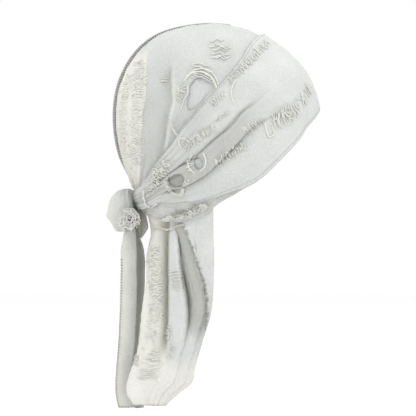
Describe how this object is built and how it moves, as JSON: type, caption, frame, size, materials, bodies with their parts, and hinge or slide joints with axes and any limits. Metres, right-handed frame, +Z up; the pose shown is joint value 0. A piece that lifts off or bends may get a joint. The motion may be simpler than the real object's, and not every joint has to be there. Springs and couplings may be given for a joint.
{
  "type": "tie-back head wrap",
  "caption": "Washed, torn cotton head wrap worn tied: seamed cap, wide pleated tie over the forehead, knot with a rolled end at the nape, hanging ties and a folded neck flap",
  "frame": {"origin": "inner top of the cap on the middle plane, where the wrap rests on the head", "axes": "+X to the forehead, +Z up, -Y the wearer's right"},
  "size_m": [0.2131, 0.1736, 0.3851],
  "materials": {
    "crown_cloth": "washed woven cotton, pale grey with a torn cream panel",
    "wrap_cloth": "washed woven cotton, off-white",
    "band_cloth": "washed woven cotton, grey",
    "flap_cloth": "washed woven cotton, off-white",
    "tie_cloth": "washed woven cotton, off-white",
    "seam_thread": "overlocked grey thread",
    "frayed_cloth": "frayed raw edge"
  },
  "bodies": {
    "root": {"crown": "crown_cloth", "forehead_wrap": "wrap_cloth", "lower_band": "band_cloth", "neck_flap": "flap_cloth", "centre_seam": "seam_thread", "knot": "tie_cloth", "knot_end": "frayed_cloth", "tie_tail_right": "tie_cloth", "tie_tail_left": "tie_cloth"}
  },
  "joints": []
}
